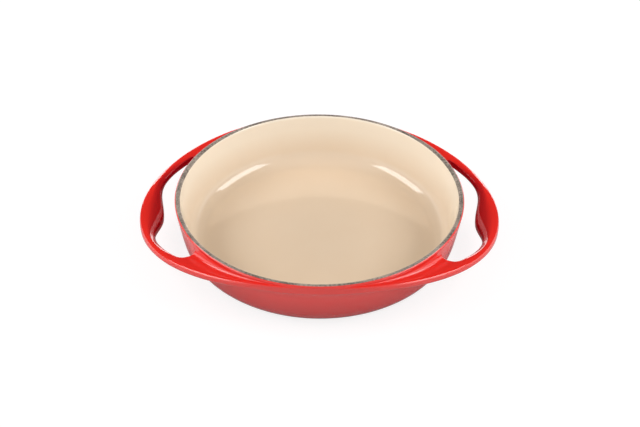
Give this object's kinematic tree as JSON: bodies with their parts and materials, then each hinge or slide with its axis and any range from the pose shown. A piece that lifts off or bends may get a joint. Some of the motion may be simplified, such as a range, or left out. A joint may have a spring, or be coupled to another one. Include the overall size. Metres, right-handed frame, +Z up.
{
  "type": "tarte tatin dish",
  "caption": "Shallow round enamelled cast-iron baking dish with sloping walls and a loop handle at each end, for baking and turning out a caramelised fruit tart.",
  "frame": {"origin": "centre of the flat base, on its underside", "axes": "+Z up out of the bowl; +X along the two handles; the dish is the same in both directions along X and Y"},
  "size_m": [0.33, 0.264, 0.054],
  "materials": {
    "red_enamel": "glossy red enamel on cast iron, outside and on the handles",
    "sand_enamel": "glossy sand-coloured enamel on cast iron, inside",
    "rim_enamel": "matt grey-brown ground coat on the top of the rim"
  },
  "bodies": {
    "root": {"dish": "red_enamel"}
  },
  "joints": []
}
